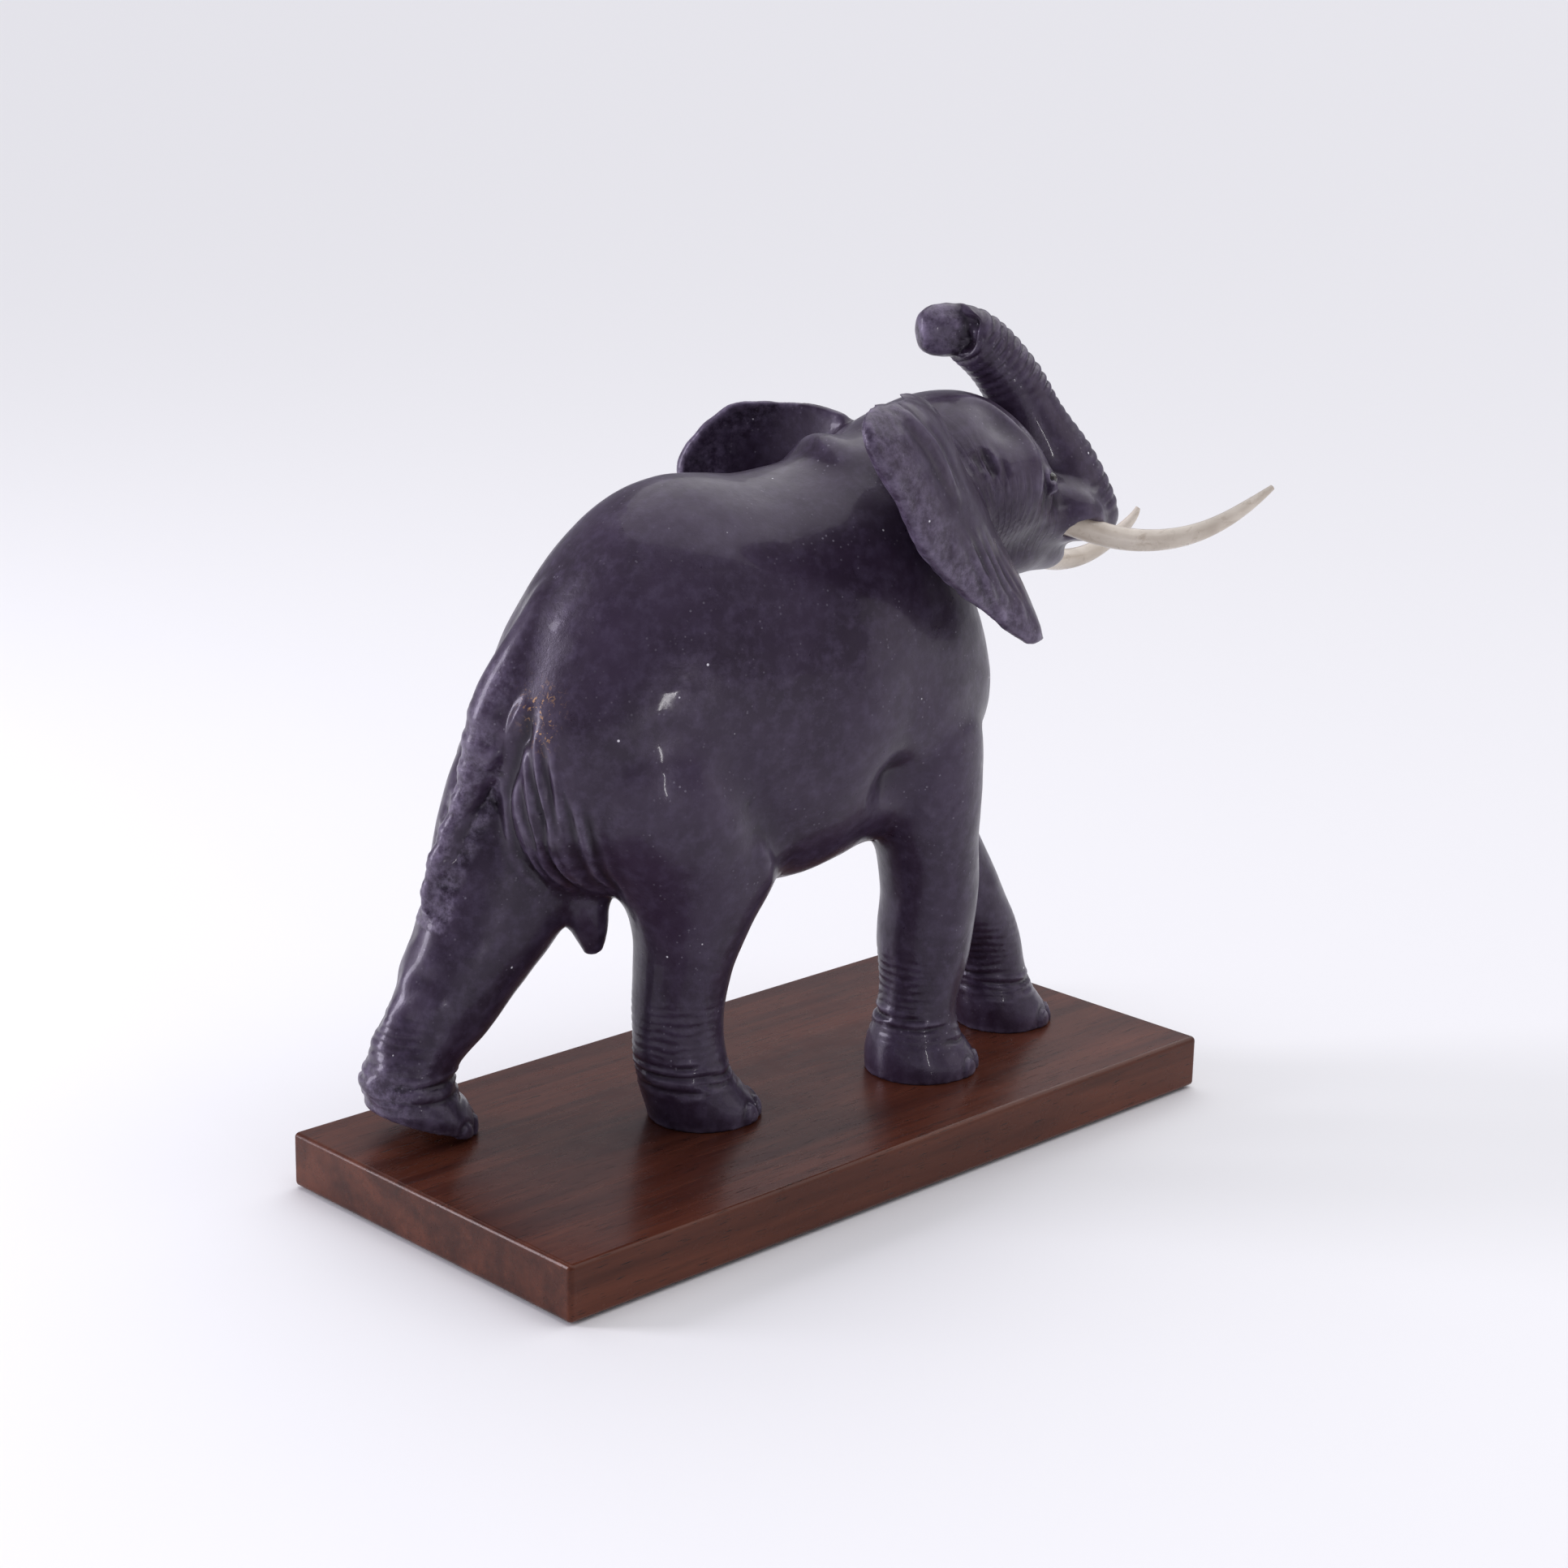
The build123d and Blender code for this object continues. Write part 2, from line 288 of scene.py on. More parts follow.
def carve_head(clay):
    for side, name in SIDES.items():
        clay.stroke([from_head(*p, side) for p in BROW], 1.1, 3.0)
        clay.stroke([from_head(*p, side) for p in BEFORE_BROW], -2.2, 3.2)
        clay.refresh()
        raise_eyelids(clay, name + "_eye", side)
        for height, middle, radius in HEAD_SWELLINGS:
            clay.push(height * clay.around(from_head(*middle, side), radius))
        for depth, fold in TEMPLE_FOLDS:
            clay.stroke([from_head(*p, side) for p in fold], depth, 1.5, shoulders=0.3, taper=0.4,
                        facing=(0, side, 0))
    clay.refresh()
    lower_crown = 2.4 * clay.around((50, 20, 232), 14) + 1.0 * clay.around((62, 8, 238), 14)
    clay.co[:, 2] -= lower_crown
    wrinkle_cheeks(clay)


def raise_eyelids(clay, eye, side):
    """A rim of skin around the eye bead, highest at the back."""
    low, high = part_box(eye)
    middle = to_elephant((low + high) / 2)
    gaze = np.array((0.7, 0.7 * side, 0.1))
    gaze /= np.linalg.norm(gaze)
    across = np.cross((0, 0, 1), gaze)
    across /= np.linalg.norm(across)
    up = np.cross(gaze, across)
    behind = across * side
    turns = np.linspace(0, 2 * math.pi, 17)
    rim = [middle + 0.8 * gaze + 4.2 * math.cos(t) * behind + 2.9 * math.sin(t) * up for t in turns]
    clay.stroke(rim, 1.0, 1.3, taper=0.001)
    clay.refresh()
    fold = [middle + 1.2 * gaze + 3.9 * math.cos(t) * behind + 4.6 * math.sin(t) * up
            for t in (-1.5, -1.0, -0.5, 0, 0.5, 1.0, 1.5)]
    clay.stroke(fold, 3.8, 2.1, taper=0.35)
    clay.refresh()


def wrinkle_cheeks(clay):
    """Upright wrinkles on the cheeks, which lean with the root of the ear towards the back."""
    pitch, height, jaw = 3.4, 0.3, 160
    place = to_head(clay.co)
    x, out, up = place[:, 0], np.abs(place[:, 1]), place[:, 2]
    lean = 0.50 - 0.42 * smoothstep(54, 80, x + 0.3 * up)
    phase = (x + lean * up) / pitch + 0.2 * noise(clay.co, 12, 3)
    strength = 0.8 + 0.4 * noise(clay.co * (1, 1, 0.4), 7, 4)
    cheek = smoothstep(7, -5, up) * smoothstep(104, 96, x) * smoothstep(-46, -40, up)
    temple = 0.5 * smoothstep(74, 62, x + 0.25 * up) * smoothstep(30, 20, up)
    zone = np.maximum(cheek, temple) * smoothstep(52, 58, x + 0.5 * up) * smoothstep(12, 20, out)
    depth = strength * zone * (clay.co[:, 2] > jaw)
    clay.push(height * (np.cos(2 * math.pi * phase) - 1) * depth)
    clay.store("wrinkle_phase", phase, None)
    clay.store("wrinkle_depth", depth)


# ---------------------------------------------------------------- trunk
TRUNK_LINE = [(127, 3, 180), (126.5, 3, 185.5), (124.5, 4, 192), (120, 5, 203), (113.5, 7, 215),
              (107, 9, 226), (98.5, 10, 240), (88.5, 11, 250), (80, 12, 255), (66, 12.5, 256)]
RING_AT_FOOT, RING_AT_TIP = 4.4, 3.1
# y, z, radius, depth
NOSTRILS = ((5.5, 259.5, 2.6, 2.4), (10, 253.5, 3.4, 3.0))


def along_line(co, points, step=0.5):
    """For each point: millimetres along a path, distance from it, and the direction of the path there."""
    path = smooth_path(points, step)
    length = np.concatenate([[0], np.cumsum(np.linalg.norm(np.diff(path, axis=0), axis=1))])
    heading = np.gradient(path, axis=0)
    heading /= np.linalg.norm(heading, axis=1)[:, None]
    best = np.zeros(len(co), int)
    batch = 20000
    for first in range(0, len(co), batch):
        part = co[first:first + batch]
        best[first:first + batch] = ((part[:, None] - path[None]) ** 2).sum(2).argmin(1)
    offset = co - path[best]
    along = length[best] + (offset * heading[best]).sum(1)
    return along, np.linalg.norm(offset, axis=1), heading[best]


def carve_trunk(clay):
    shape_trunk_tip(clay)
    thicken_trunk_root(clay)
    ring_trunk(clay)


def thicken_trunk_root(clay):
    """Brings the foot of the trunk forward and the right tusk's sheath out."""
    forward = (0.84, -0.54, 0)
    outward = (0.15, -0.95, -0.2)
    clay.co += 3.2 * clay.around((130, -4, 187), 12)[:, None] * forward
    clay.co += 1.2 * clay.around((122, 2, 208), 14)[:, None] * forward
    clay.co += 5.0 * clay.around((117, -13, 188), 9)[:, None] * outward
    clay.refresh()


def ring_trunk(clay):
    """Rings round the trunk, closer together and deeper towards its tip, deepest on its front."""
    x, y, z = clay.co.T
    near = np.where((x > 60) & (z > 176) & (np.abs(y - 7) < 22))[0]
    along, far, heading = along_line(clay.co[near], TRUNK_LINE)
    total = along_line(np.array([TRUNK_LINE[-1]]), TRUNK_LINE)[0][0]
    front = np.cross(heading, (0, 1, 0))
    front *= np.sign(front[:, :1] + 1e-9)
    front[:, 2] = np.abs(front[:, 2])
    ahead = (clay.normal[near] * front).sum(1)
    on_trunk = smoothstep(19, 15, far)
    turns = along / RING_AT_FOOT + (along**2 / (2 * total)) * (1 / RING_AT_TIP - 1 / RING_AT_FOOT)
    turns += 0.12 * noise(clay.co[near], 8, 11)
    ring = pinched(turns, 0.7)
    share = along / total
    strength = 0.06 + 0.5 * smoothstep(0.4, 0.75, share) + 0.8 * smoothstep(0.1, 0.85, ahead)
    strength *= smoothstep(0.02, 0.1, share) * smoothstep(14, 19, total - along)
    step = np.zeros(len(clay.co))
    step[near] = 0.95 * (ring + 0.35) * strength * on_trunk
    clay.push(step)


def shape_trunk_tip(clay):
    """Cuts the end square on the right, with two nostrils and a rim, and leaves the finger on the left."""
    x, y, z = clay.co.T
    here = (x < 88) & (x > 60) & (z > 243) & (np.abs(y - 11) < 16)
    finger = smoothstep(1.2, 0.75, np.hypot((y - 15.8) / 6.2, (z - 256) / 8.5))
    face = 82 - 0.2 * (y - 2)
    pull = np.where(x < face, (face - x) * 0.86, 0) * (1 - finger)
    clay.co[here, 0] += pull[here]
    clay.refresh()
    at_face = smoothstep(4.5, 2.5, np.abs(clay.co[:, 0] - face)) * here
    for nostril_y, nostril_z, radius, depth in NOSTRILS:
        gap = np.hypot(y - nostril_y, z - nostril_z) / radius
        clay.co[:, 0] += depth * np.exp(-gap**2) * at_face
    radius = np.hypot(y - 10, z - 255.3)
    clay.co[:, 0] -= 0.9 * np.exp(-((radius - 7.6) / 1.5) ** 2) * at_face
    tip = smoothstep(86, 82, clay.co[:, 0]) * here
    clay.refresh()
    clay.push(1.2 * clay.around((70, 16, 257), 6) * here)
    finger_end = smoothstep(79, 74, clay.co[:, 0]) * here
    clay.rub(14, finger_end)
    clay.refresh()
    clay.push(1.0 * finger_end)
    clay.push(0.4 * noise(clay.co, 3.5, 15) * tip)
    clay.soften(4, tip)


# ---------------------------------------------------------------- ears
# The back rim of each ear: heights, and x at those heights.
EAR_RIMS = {
    -1: ((160, 172, 182, 194, 208, 222, 234, 241, 244), (66, 48, 33, 18, 7, -2, -9, -7, 3)),
    1: ((151, 166, 178, 190, 202, 214, 225, 229), (60, 38, 21, 9, 3, 6, 14, 24)),
}


def on_ears(clay, low, high):
    """1 at an ear's rim, fading to 0 between low and high millimetres in from the rim."""
    x, y, z = clay.co.T
    total = np.zeros(len(x))
    for side, (heights, rim) in EAR_RIMS.items():
        inward = x - np.interp(z, heights, rim)
        ear = (y * side > 46) & (z > heights[0] - 4) & (inward > -6)
        total += smoothstep(high, low, inward) * ear
    return total


RIGHT_EAR_FOLD = [(4, -53, 244), (10, -57, 241.5), (16, -60, 237), (21, -60, 231), (25, -60, 225),
                  (29, -60, 218), (33, -60, 211)]
RIGHT_EAR_PLEATS = [
    [(30, -62, 205), (36, -61, 196), (44, -59, 184), (52, -57, 173), (60, -54, 164)],
    [(36, -60, 203), (43, -58, 193), (50, -57, 182), (57, -56, 173), (63, -54, 165)],
    [(43, -57, 203), (49, -56, 192), (55, -55, 182), (61, -54, 173), (66, -53, 165)],
    [(50, -54, 200), (55, -54, 190), (60, -53, 180), (65, -53, 171)],
]
LEFT_EAR_PLEATS = [
    [(10, 73, 204), (16, 71, 192), (26, 67, 180), (38, 62, 168), (50, 58, 158)],
    [(22, 68, 206), (28, 66, 194), (36, 63, 182), (46, 60, 170), (56, 56, 159)],
    [(34, 60, 205), (40, 58, 193), (47, 57, 181), (55, 55, 170), (61, 54, 160)],
]


def carve_ears(clay):
    clay.stroke(RIGHT_EAR_FOLD, 1.5, 2.8, shoulders=0.5, taper=0.35, facing=(0.3, -0.9, 0.2))
    for pleat in RIGHT_EAR_PLEATS:
        clay.stroke(pleat, 0.9, 1.5, shoulders=0.6, taper=0.35, facing=(0.5, -0.8, 0))
    for pleat in LEFT_EAR_PLEATS:
        clay.stroke(pleat, 0.9, 1.6, shoulders=0.6, taper=0.35, facing=(0.4, 0.8, 0))
    clay.refresh()
    ripples = 0.5 * noise(clay.co, 8, 21) + 0.35 * noise(clay.co, 4, 22)
    clay.push(ripples * on_ears(clay, 10, 24))


# ---------------------------------------------------------------- tail and hindquarters
TAIL_LINE = [(-88, 0, 172), (-97, 1, 158), (-103, 3, 142), (-107, 6, 127), (-111, 9, 115),
             (-116, 11, 102), (-120, 13, 90), (-123, 14, 77)]
TAIL_RIGHT_EDGE = [(-98, -12, 153), (-103, -11, 145), (-106, -8, 138), (-108, -4, 131), (-110, 0, 126)]
TAIL_LEFT_EDGE = [(-99, 16, 150), (-103, 14, 142), (-107, 13, 134), (-109, 11, 127)]
BESIDE_TAIL = [(-98, -16, 151), (-101, -15, 143), (-103, -12.5, 136), (-104, -9, 128), (-104, -5, 120),
               (-103, -3, 110)]
# Folds of the right buttock, from the tail outwards: depth, line.
BUTTOCK_FOLDS = [
    (-1.2, [(-103, -4, 124), (-103, -5, 113), (-101, -5, 104), (-95, -5, 93), (-84, -4, 81)]),
    (-1.5, [(-102, -12, 128), (-102, -13, 115), (-99, -14, 104), (-93, -11, 93), (-81, -5, 81)]),
    (-2.3, [(-100, -14, 145), (-99, -19, 120), (-98, -20, 108), (-92, -15, 95), (-74, -7, 79)]),
    (-1.4, [(-99, -20, 142), (-98, -25, 118), (-94, -23, 103), (-86, -18, 91), (-71, -9, 79)]),
    (-1.1, [(-96, -27, 128), (-93, -28, 115), (-89, -25, 103), (-79, -18, 90), (-68, -13, 80)]),
    (-0.7, [(-91, -32, 124), (-86, -30, 109), (-80, -25, 96), (-70, -19, 85), (-64, -15, 79)]),
]
# The left buttock's folds are mirrored about this plane, to the left of the middle as the tail is.
BUTTOCKS_MEET = 4


def around_tail(clay):
    """The numbers of the points on and beside the tail."""
    x, y, z = clay.co.T
    return np.where((x < -84) & (z > 72) & (np.abs(y - 5) < 20))[0]


def carve_rear(clay):
    carve_tail(clay)
    clay.stroke(TAIL_RIGHT_EDGE, 2.4, 2.6, taper=0.3)
    clay.stroke(BESIDE_TAIL, -2.6, 2.2, taper=0.35)
    clay.stroke(TAIL_LEFT_EDGE, 1.4, 2.6, taper=0.3)
    clay.refresh()
    fold_buttocks(clay)
    clay.refresh()


def carve_tail(clay):
    """Twists and fine creases along the tail."""
    near = around_tail(clay)
    along, far, _ = along_line(clay.co[near], TAIL_LINE)
    backward = smoothstep(-0.2, 0.5, -clay.normal[near][:, 0])
    on_tail = smoothstep(12, 8, far) * backward * smoothstep(22, 40, along)
    lumps = 0.40 * np.sin(along / 10.5 * 2 * math.pi + 0.8 + 0.8 * noise(clay.co[near], 12, 30))
    lumps += 0.28 * pinched(along / 3.3 + 0.3 * noise(clay.co[near], 6, 31), 0.8)
    step = np.zeros(len(clay.co))
    step[near] = lumps * on_tail
    clay.push(step)


def fold_buttocks(clay):
    """Long folds from beside the tail down and forwards, with two finer ones between each pair."""
    facing = (-0.8, 0, -0.4)
    for side in SIDES:
        shift = BUTTOCKS_MEET * (1 + side)
        paths = [np.array(fold, float) * (1, -side, 1) + (0, shift, 0) for _, fold in BUTTOCK_FOLDS]
        for (depth, _), path in zip(BUTTOCK_FOLDS, paths):
            clay.stroke(path, depth, 1.5, shoulders=0.5, taper=0.3, facing=facing)
        for first, second in zip(paths, paths[1:]):
            for share in (0.35, 0.68):
                between = first * (1 - share) + second * share
                clay.stroke(between[1:], -0.7, 1.0, shoulders=0.4, taper=0.3, facing=facing)


# ---------------------------------------------------------------- body
FLANK = [(-46, -46, 146), (-41, -45, 132), (-35, -44, 118), (-29, -41, 106), (-25, -37, 94)]
# The left hind leg trails, so the valley before it lies farther back.
LEFT_FLANK_BACK = 12
STIFLE = [(-33, -41, 106), (-28, -38, 97), (-25, -33, 88), (-25, -28, 80)]
# Hollows of the armpits and swellings of the shoulders: height, middle, radius.
SHOULDER_SWELLINGS = [
    (-6.0, (24, -42, 115), 9),
    (2.6, (42, -40, 130), 15),
    (-4.0, (26, 42, 118), 10),
    (2.0, (44, 40, 132), 15),
]
ELBOW = (33, -37, 108)
NAPE_FOLD = np.array([(30, 34, 214), (26, 25, 220), (22, 16, 222)])
NAPE_FOLD_STEP = (-6, -4, 0)


def carve_body(clay):
    clay.stroke(FLANK, -2.2, 9, taper=0.3, facing=(0, -1, 0))
    left_flank = [(x - LEFT_FLANK_BACK, -y, z) for x, y, z in FLANK]
    clay.stroke(left_flank, -2.2, 9, taper=0.3, facing=(0, 1, 0))
    clay.stroke(STIFLE, 1.6, 3.5, taper=0.35)
    clay.refresh()
    for height, middle, radius in SHOULDER_SWELLINGS:
        clay.push(height * clay.around(middle, radius))
    crease_elbow(clay)
    for i in range(4):
        clay.stroke(NAPE_FOLD + np.multiply(NAPE_FOLD_STEP, i), -0.8, 1.6, shoulders=0.4, taper=0.4)
    clay.refresh()
    wide = 0.5 * noise(clay.co, 22, 41) + 0.16 * noise(clay.co, 8, 42)
    clay.push(wide * smoothstep(4, 14, clay.co[:, 2]))


def crease_elbow(clay):
    """Four creases around the right elbow, one outside another."""
    x, y, z = ELBOW
    for i in range(4):
        reach = 5.5 + 3.2 * i
        arc = [(x + reach * math.cos(a), y + 0.25 * reach * math.sin(a), z + reach * math.sin(a))
               for a in (-1.9, -1.4, -0.9, -0.4, 0.1)]
        clay.stroke(arc, -0.4, 1.3, shoulders=0.4, taper=0.45, facing=(0, -1, 0))


# ---------------------------------------------------------------- feet
# The middle of each sole, and half its length and width.
FEET = {
    "right_hind": ((-34, -14), (19, 18.5)),
    "right_fore": ((55, -13), (20, 19)),
    "left_fore": ((110, 13), (17.5, 17)),
    "left_hind": ((-125.5, 15.5), (19.5, 17)),
}
FOOT_REACH, FOOT_TOP = 32, 48
CREASE_HEIGHTS = (22, 19, 16.5, 14)
CREASE_WIDTH = 0.9
TOE_ANGLES = (-60, -30, 0, 30, 60)
NAIL_HALF_WIDTH, NAIL_HALF_HEIGHT, NAIL_MIDDLE = 3.9, 4.6, 2.2


def carve_feet(clay):
    for number, ((foot_x, foot_y), (length, width)) in enumerate(FEET.values()):
        x, y, z = clay.co.T
        here = (np.hypot(x - foot_x, y - foot_y) < FOOT_REACH) & (z < FOOT_TOP)
        angle = np.arctan2((y - foot_y) / width, (x - foot_x) / length)
        step = ankle_creases(clay, number, foot_x)
        step += heel_creases(clay, number, angle)
        step += toenails(z, angle, length)
        clay.push(step * here * smoothstep(0.0, 0.8, z))


def ankle_creases(clay, number, foot_x):
    """Broken grooves round the ankle, each with a swollen lip on both sides."""
    x, _, z = clay.co.T
    level = z + 0.9 * noise(clay.co, 9, 50 + number) + 0.06 * (x - foot_x)
    step = np.zeros(len(z))
    for i, height in enumerate(CREASE_HEIGHTS):
        depth = 0.95 - 0.12 * i
        gap = np.abs(level - height)
        patchy = smoothstep(-0.5, 0.3, noise(clay.co, 10, 60 + 4 * number + i))
        groove = np.exp(-(gap / CREASE_WIDTH) ** 2)
        lip = np.exp(-((gap - 2) / CREASE_WIDTH) ** 2)
        step -= depth * patchy * (groove - 0.35 * lip)
    return step


def heel_creases(clay, number, angle):
    """Finer creases up the back of the shin."""
    z = clay.co[:, 2]
    behind = smoothstep(1.4, 2.4, np.abs(angle))
    fine = pinched(z / 2.9 + 0.4 * noise(clay.co, 7, 70 + number), 0.8)
    return 0.4 * fine * behind * smoothstep(22, 28, z) * smoothstep(FOOT_TOP, 40, z)


def toenails(z, angle, length):
    """A low oval nail on each toe, with a groove around it."""
    step = np.zeros(len(z))
    for toe in TOE_ANGLES:
        across = (angle - math.radians(toe)) * length
        oval = (across / NAIL_HALF_WIDTH) ** 2 + ((z - NAIL_MIDDLE) / NAIL_HALF_HEIGHT) ** 2
        step += 0.75 * smoothstep(1.0, 0.7, oval) - 0.4 * np.exp(-((oval - 1.15) / 0.25) ** 2)
    return step


def dent_hind_leg(clay):
    """Knife facets down the back of the trailing leg."""
    x, _, z = clay.co.T
    zone = smoothstep(-116, -128, x) * smoothstep(12, 20, z) * smoothstep(82, 66, z)
    clay.push(1.0 * noise(clay.co, 7, 91) * zone)


# ---------------------------------------------------------------- marks for the material
# Millimetres that a point lies below or above its neighbours where it is a full hollow or edge.
FULL_HOLLOW, FULL_EDGE = 0.05, 0.06
# Strength, middle, radius.
GILT_SPOTS = [(1.0, (-99, -18, 150), 6), (0.8, (-98, -20, 141), 4)]


def mark_surface(clay):
    """Hollows that get painted shade, edges that are rubbed bright, the tail and left heel that get a
    painted highlight together with the worn ear rims and trunk finger, and the gilded places.
    """
    curve = ((clay.average(clay.co) - clay.co) * clay.normal).sum(1)
    for _ in range(2):
        curve = clay.average(curve[:, None])[:, 0]
    # How far in a hollow each point lies, which the material turns into painted shade.
    clay.store("hollow_shade", curve / FULL_HOLLOW)
    clay.store("edge", -curve / FULL_EDGE)
    x, _, z = clay.co.T
    back = around_tail(clay)
    along, far, _ = along_line(clay.co[back], TAIL_LINE)
    backward = smoothstep(0.0, 0.4, -clay.normal[back][:, 0])
    tail = np.zeros(len(x))
    tail[back] = smoothstep(11, 8, far) * backward * smoothstep(8, 26, along)
    left_heel_highlight = smoothstep(-130, -141, x) * smoothstep(34, 20, z)
    finger = smoothstep(80, 74, x) * (z > 244) * (x > 60)
    # The tail and left heel here stand for a painted highlight; the ear rims and the trunk's finger are
    # lighter worn places.
    worn = np.maximum.reduce([tail, left_heel_highlight, 0.8 * on_ears(clay, 8, 22), finger])
    clay.store("worn", worn * (0.75 + 0.35 * noise(clay.co, 7, 81)))
    gilt = [strength * clay.around(place, radius) for strength, place, radius in GILT_SPOTS]
    clay.store("gilt", sum(gilt))


# ---------------------------------------------------------------- skin
# Spots rubbed smooth at the end: nape, trunk's root, right tusk's sheath, tops of the ears.
RUBBED_SPOTS = [
    ((14, 0, 221), 18),
    ((108, -5, 216), 11),
    ((113, -16, 188), 7),
    ((20, -42, 245), 9),
    ((44, 33, 229), 8),
]


def blend_joints(clay):
    """Rounds the inner corners that the CAD's plain solids leave where they meet."""
    x, y, z = clay.co.T
    ears = (np.abs(y - 3) > 46) & (z > 150) & (x < 80)
    mouth = (x > 98) & (z < 184)
    share = smoothstep(2, 12, z) * np.where(ears, 0.15, 1) * np.where(mouth, 0.3, 1)
    clay.fill(70, share)
    armpits = clay.around((20, -42, 112), 16) + clay.around((22, 42, 112), 16)
    clay.fill(60, armpits)
    nape = clay.around((16, 5, 214), 26)
    clay.fill(90, nape)
    right_thigh = clay.around((-66, -43, 146), 16)
    clay.fill(60, right_thigh)
    nape_crest = clay.around((24, -14, 221), 12) + clay.around((0, 4, 216), 13)
    clay.push(2.2 * nape_crest)


def rub_spots(clay):
    for place, radius in RUBBED_SPOTS:
        clay.rub(40, clay.around(place, radius))
    right_ear_top = clay.around((23, -37, 245), 6)
    clay.co[:, 2] -= 1.4 * right_ear_top
    clay.refresh()


def sculpt_body():
    mesh = remeshed(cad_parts["elephant_body"], SKIN_PITCH * MM)
    clay = Clay(mesh)
    clay.soften(4)
    blend_joints(clay)
    clay.soften(3)
    carve_head(clay)
    carve_ears(clay)
    carve_rear(clay)
    carve_body(clay)
    carve_feet(clay)
    dent_hind_leg(clay)
    clay.soften(1)
    carve_trunk(clay)
    rub_spots(clay)
    clay.co[:, 2] = np.maximum(clay.co[:, 2], 0)
    mark_surface(clay)
    clay.apply()
    return hang_skin(mesh)


def hang_skin(mesh):
    """Makes the sculpted mesh a piece of the scene, in place of the plain CAD elephant."""
    piece = bpy.data.objects.new("elephant_carving", mesh)
    bpy.context.scene.collection.objects.link(piece)
    mesh.polygons.foreach_set("use_smooth", np.ones(len(mesh.polygons), bool))
    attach(piece, "root")
    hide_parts("elephant_body")
    return piece


# ---------------------------------------------------------------- materials
class Look:
    """A procedural material, built up by short calls. Patterns are measured in metres on the object."""

    def __init__(self, name):
        self.material = bpy.data.materials.new(name)
        self.material.use_nodes = True
        self.tree = self.material.node_tree
        self.shader = self.tree.nodes["Principled BSDF"]
        self.place = self.tree.nodes.new("ShaderNodeTexCoord").outputs["Object"]

    def node(self, kind, inputs=(), **settings):
        made = self.tree.nodes.new(kind)
        for key, value in settings.items():
            setattr(made, key, value)
        for key, value in dict(inputs).items():
            if isinstance(value, bpy.types.NodeSocket):
                self.tree.links.new(value, made.inputs[key])
            else:
                made.inputs[key].default_value = value
        return made

    def noise(self, size, detail=3, rough=0.5, twist=0):
        """Cloudy noise, with patches of about size millimetres."""
        inputs = {"Vector": self.place, "Scale": 1 / (size * MM), "Detail": detail, "Roughness": rough,
                  "Distortion": twist}
        return self.node("ShaderNodeTexNoise", inputs).outputs["Fac"]

    def grain(self, counts, detail, rough, twist=0):
        """Drawn-out noise, with about so many patches to the metre along each axis."""
        place = self.node("ShaderNodeMapping", {"Vector": self.place, "Scale": counts}).outputs["Vector"]
        inputs = {"Vector": place, "Scale": 1, "Detail": detail, "Roughness": rough, "Distortion": twist}
        return self.node("ShaderNodeTexNoise", inputs).outputs["Fac"]

    def dots(self, size, share, spread):
        """Round specks, one in each cell of size millimetres whose random number is below spread."""
        cells = self.node("ShaderNodeTexVoronoi", {"Vector": self.place, "Scale": 1 / (size * MM)})
        near = self.span(cells.outputs["Distance"], share, share * 0.6)
        parts = self.node("ShaderNodeSeparateColor", {"Color": cells.outputs["Color"]})
        lucky = self.span(parts.outputs[0], spread, spread * 0.95)
        return self.maths("MULTIPLY", near, lucky)

    def span(self, value, low, high, to_low=0.0, to_high=1.0):
        """Stretches the range from low to high over another range, and keeps to it."""
        inputs = {"Value": value, "From Min": low, "From Max": high, "To Min": to_low, "To Max": to_high}
        return self.node("ShaderNodeMapRange", inputs).outputs["Result"]

    def maths(self, operation, first, second=0):
        return self.node("ShaderNodeMath", {0: first, 1: second}, operation=operation).outputs[0]

    def mix(self, share, first, second):
        """The first colour where share is 0, the second where it is 1."""
        pair = [(*c, 1) if isinstance(c, tuple) else c for c in (first, second)]
        inputs = {0: share, 6: pair[0], 7: pair[1]}
        return self.node("ShaderNodeMix", inputs, data_type="RGBA").outputs[2]

    def mark(self, name):
        """A value that the sculpting stored on the skin."""
        return self.node("ShaderNodeAttribute", attribute_name=name).outputs["Fac"]

    def bump(self, height, depth):
        """Relief of about depth millimetres, on top of any relief that is already there."""
        inputs = {"Height": height, "Distance": depth * MM}
        if self.shader.inputs["Normal"].is_linked:
            inputs["Normal"] = self.shader.inputs["Normal"].links[0].from_socket
        relief = self.node("ShaderNodeBump", inputs).outputs["Normal"]
        self.tree.links.new(relief, self.shader.inputs["Normal"])

    def finish(self, colour, roughness, **constants):
        """Connects the patterns, and sets the shader's other values."""
        self.tree.links.new(colour, self.shader.inputs["Base Color"])
        self.tree.links.new(roughness, self.shader.inputs["Roughness"])
        for key, value in constants.items():
            self.shader.inputs[key.replace("_", " ")].default_value = value
        return self.material


